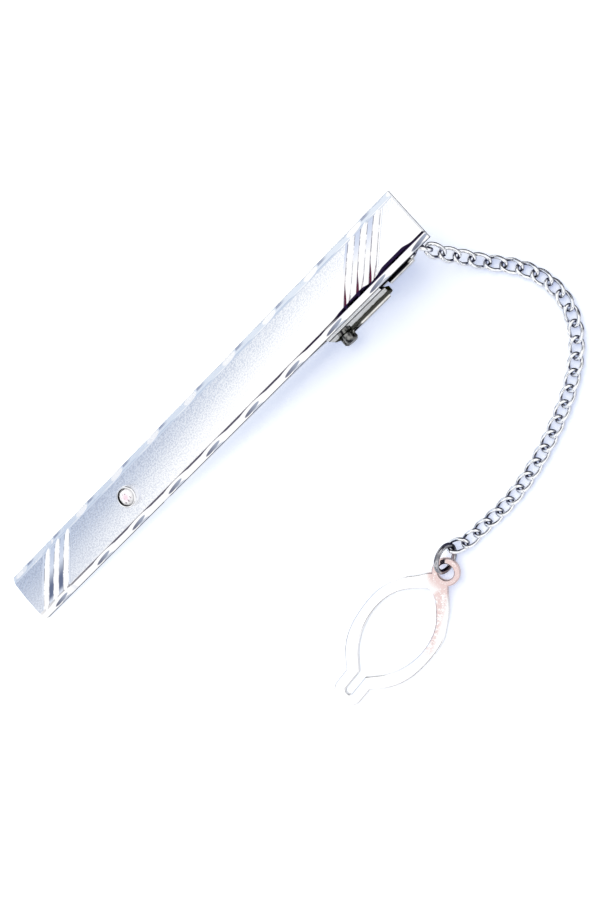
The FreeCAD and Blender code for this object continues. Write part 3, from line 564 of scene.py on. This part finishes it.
def cut_stone():
    """A round brilliant. Each ring of corners is radius times (cos, sin) of even steps about the stone's axis,
    at one height: table, kite tips, both girdle rims and pavilion, with one point below. Flat facets join the
    rings."""
    step = np.arange(8)
    turned, fine = (step + 0.5) * np.pi / 4, np.arange(16) * np.pi / 8
    rings = [(step * np.pi / 4, TABLE_SHARE, TABLE_HEIGHT), (turned, KITE_SHARE, KITE_HEIGHT),
             (fine, 1.0, GIRDLE_HEIGHT), (fine, 1.0, 0.0), (turned, PAVILION_SHARE, PAVILION_HEIGHT),
             (np.zeros(1), 0.0, POINT_HEIGHT)]
    local = np.concatenate([
        np.stack([STONE_RADIUS * share * np.cos(angle), STONE_RADIUS * share * np.sin(angle),
                  np.full(angle.shape, height)], axis=1)
        for angle, share, height in rings])
    ahead, across, face = (np.array(bar_place(*way) - BAR_TIP) for way in ((1, 0, 0), (0, 1, 0), (0, 0, 1)))
    points = np.array(bar_place(STONE_FROM_TIP, 0, STONE_SEAT)) + local @ np.stack([ahead, across, face])
    # each ring's first corner follows the ring before it
    after, before = (step + 1) % 8, (step - 1) % 8
    tip, high, low, deep, point = 8 + step, 16, 32, 48 + step, np.full(8, 56)
    near, mid, end = 2 * step, 2 * step + 1, (2 * step + 2) % 16
    rim, rim_next = np.arange(16), (np.arange(16) + 1) % 16
    facets = [[step, tip, after], [step, 8 + before, high + near, tip], [tip, high + near, high + mid],
              [tip, high + mid, high + end], [high + rim, low + rim, low + rim_next, high + rim_next],
              [low + near, deep, low + mid], [low + mid, deep, low + end],
              [48 + before, point, deep, low + near]]
    polygons = [step.tolist()] + [row for group in facets for row in np.stack(group, axis=1).tolist()]
    mesh = bpy.data.meshes.new("brilliant_stone")
    mesh.from_pydata(points.tolist(), [], polygons)
    mesh.materials.append(finishes["stone"])
    piece = bpy.data.objects.new("brilliant_stone", mesh)
    bpy.context.scene.collection.objects.link(piece)
    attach(piece, "clip")
    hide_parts("stone")


cut_stone()


# the jaw's spring

def wind_spring():
    """The jaw's spring, its coil about the pin between a low leg on the jaw and a high leg on the clip:
    a copy with close corners merged and smooth shading, in place of the imported one."""
    wire = bmesh.new()
    wire.from_mesh(frame["nodes"]["jaw_spring"].data)
    bmesh.ops.remove_doubles(wire, verts=wire.verts, dist=SAME_CORNER)
    mesh = bpy.data.meshes.new("wound_spring")
    wire.to_mesh(mesh)
    wire.free()
    mesh.shade_smooth()
    mesh.materials.append(finishes["spring"])
    piece = bpy.data.objects.new("wound_spring", mesh)
    bpy.context.scene.collection.objects.link(piece)
    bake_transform(piece)
    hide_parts("jaw_spring")


wind_spring()


# studio

# what the metal sees on the white walls: direction, full and fading angles in degrees, colour
STUDIO_PATCHES = [
    ((-0.66, 0.62, 0.42), 16, 38, (0.58, 0.65, 0.77)),
    ((-0.37, -0.50, 0.78), 9, 14, (0.02, 0.01, 0.035)),
    ((-0.55, -0.455, 0.70), 4.5, 8, (0.10, 0.09, 0.13)),
    ((0.42, 0.80, 0.42), 20, 28, (0.02, 0.02, 0.03)),
    ((-0.83, 0.48, 0.25), 8, 13, (0.03, 0.03, 0.05)),
    ((-0.90, -0.36, 0.25), 8, 13, (0.03, 0.03, 0.05)),
]


# low walls round the table, as heights of a direction: a pair says where a wall is gone and where it is full
DIM_SIDE_FOOT, DIM_SIDE_TOP, DIM_SIDE = (0.05, 0.12), (0.5, 0.38), ((1, -0.1, 0.15), 50, 75)
FRONT_TOP, FRONT = (0.255, 0.215), ((-0.4, -0.9, 0), 40, 55)

# the table, in metres, and its shaded pools: centre, and where each ends, in mm
TABLE_HALF, TABLE_DROP = 0.16, 0.02 * MM
SHADE_POOLS = ((TIP_ON_TABLE + Vector((56, -14, 0)) * MM, 4, 44), (LOOP_EYE, 1.5, 8))

# the lamp: the way to it, its strength and its breadth
KEY_WAY, KEY_STRENGTH, KEY_BREADTH_DEG = (0.05, 0.62, 0.85), 2.0, 70
NEAREST_SEEN, FARTHEST_SEEN = 0.001, 10.0


def direction_cap(tree, way, toward, inner_deg, outer_deg):
    """1 within an angle of a direction, fading to 0 at a larger angle."""
    near = along(tree, way, Vector(toward).normalized())
    return ramp(tree, near, math.cos(math.radians(outer_deg)), math.cos(math.radians(inner_deg)))


def make_world():
    """White to the camera. Metal sees white walls with a blue-grey side, dark flags and dim low sides."""
    world = bpy.data.worlds.new("white_studio")
    bpy.context.scene.world = world
    tree = tree_of(world)
    way = add(tree, "ShaderNodeTexCoord").outputs["Generated"]
    colour = WHITE
    for toward, inner, outer, shade in STUDIO_PATCHES:
        colour = blend_colour(tree, direction_cap(tree, way, toward, inner, outer), colour, (*shade, 1))
    _, _, height = split(tree, way)
    side = all_of(tree, ramp(tree, height, *DIM_SIDE_FOOT), ramp(tree, height, *DIM_SIDE_TOP),
                  direction_cap(tree, way, *DIM_SIDE))
    colour = blend_colour(tree, side, colour, (0.25, 0.26, 0.28, 1))
    front = all_of(tree, ramp(tree, height, *FRONT_TOP), direction_cap(tree, way, *FRONT))
    colour = blend_colour(tree, front, colour, (0.58, 0.62, 0.70, 1))
    path = add(tree, "ShaderNodeLightPath").outputs
    studio = add(tree, "ShaderNodeBackground", {"Color": colour, "Strength": 1.1}).outputs[0]
    plain = add(tree, "ShaderNodeBackground", {"Color": (0.93, 0.95, 1.0, 1), "Strength": 0.5}).outputs[0]
    white = add(tree, "ShaderNodeBackground", {"Color": WHITE, "Strength": 1.0}).outputs[0]
    seen = math_node(tree, "MAXIMUM", path["Is Glossy Ray"], path["Is Transmission Ray"])
    lit = add(tree, "ShaderNodeMixShader", {0: seen, 1: plain, 2: studio}).outputs[0]
    final = add(tree, "ShaderNodeMixShader", {0: path["Is Camera Ray"], 1: lit, 2: white}).outputs[0]
    add(tree, "ShaderNodeOutputWorld", {"Surface": final})


def make_floor():
    """A wide white table: it glows a little to the camera and in reflections, less so in pools by the clip end
    and the loop's eye, and still takes the shadow."""
    mesh = bpy.data.meshes.new("table")
    corners = [(x * TABLE_HALF, y * TABLE_HALF, -TABLE_DROP) for x, y in ((-1, -1), (1, -1), (1, 1), (-1, 1))]
    mesh.from_pydata(corners, [], [(0, 1, 2, 3)])
    table = bpy.data.objects.new("table", mesh)
    bpy.context.scene.collection.objects.link(table)
    material = bpy.data.materials.new("white_table")
    tree = tree_of(material)
    path = add(tree, "ShaderNodeLightPath").outputs
    plain = add(tree, "ShaderNodeBsdfDiffuse", {"Color": (0.8, 0.8, 0.8, 1)}).outputs[0]
    mirrored = math_node(tree, "MAXIMUM", path["Is Glossy Ray"], path["Is Transmission Ray"])
    clear = 1.0
    for place, near, far in SHADE_POOLS:
        away = from_axis(tree, own_frame(tree, place, (0, 0, 0)))
        clear = math_node(tree, "MINIMUM", clear, ramp(tree, away, near, far))
    pool = blend_colour(tree, clear, (0.30, 0.37, 0.62, 1), (0.66, 0.72, 0.88, 1))
    for seen, glow, paint in ((mirrored, (0.10, 0.11, 0.13, 1), (0.86, 0.86, 0.86, 1)),
                              (path["Is Camera Ray"], pool, (0.92, 0.88, 0.66, 1))):
        light = add(tree, "ShaderNodeEmission", {"Color": glow, "Strength": 1.0}).outputs[0]
        shaded = add(tree, "ShaderNodeBsdfDiffuse", {"Color": paint}).outputs[0]
        bright = add(tree, "ShaderNodeAddShader", {0: light, 1: shaded}).outputs[0]
        plain = add(tree, "ShaderNodeMixShader", {0: seen, 1: plain, 2: bright}).outputs[0]
    add(tree, "ShaderNodeOutputMaterial", {"Surface": plain})
    mesh.materials.append(material)


def make_key_light():
    """One broad soft light from the photograph's upper left. Metal sees the white walls, not the lamp."""
    lamp = bpy.data.lights.new("soft_key", "SUN")
    lamp.energy, lamp.angle = KEY_STRENGTH, math.radians(KEY_BREADTH_DEG)
    key = bpy.data.objects.new("soft_key", lamp)
    key.rotation_euler = Vector(KEY_WAY).to_track_quat("Z", "Y").to_euler()
    key.visible_glossy = False
    bpy.context.scene.collection.objects.link(key)


def make_camera():
    camera = bpy.data.cameras.new("photo_view")
    camera.sensor_fit, camera.sensor_height, camera.lens = "VERTICAL", SENSOR_MM, LENS_MM
    camera.clip_start, camera.clip_end = NEAREST_SEEN, FARTHEST_SEEN
    eye = bpy.data.objects.new("photo_view", camera)
    ahead = (CAMERA_AIM - CAMERA_PLACE).normalized()
    hint = Vector((math.cos(math.radians(IMAGE_UP_DEG)), math.sin(math.radians(IMAGE_UP_DEG)), 0))
    right = ahead.cross(hint).normalized()
    turn = Matrix((right, right.cross(ahead), -ahead)).transposed()
    eye.matrix_world = Matrix.Translation(CAMERA_PLACE) @ turn.to_4x4()
    bpy.context.scene.collection.objects.link(eye)
    bpy.context.scene.camera = eye


make_world()
make_floor()
make_key_light()
make_camera()
bpy.context.scene.view_settings.view_transform = "Standard"
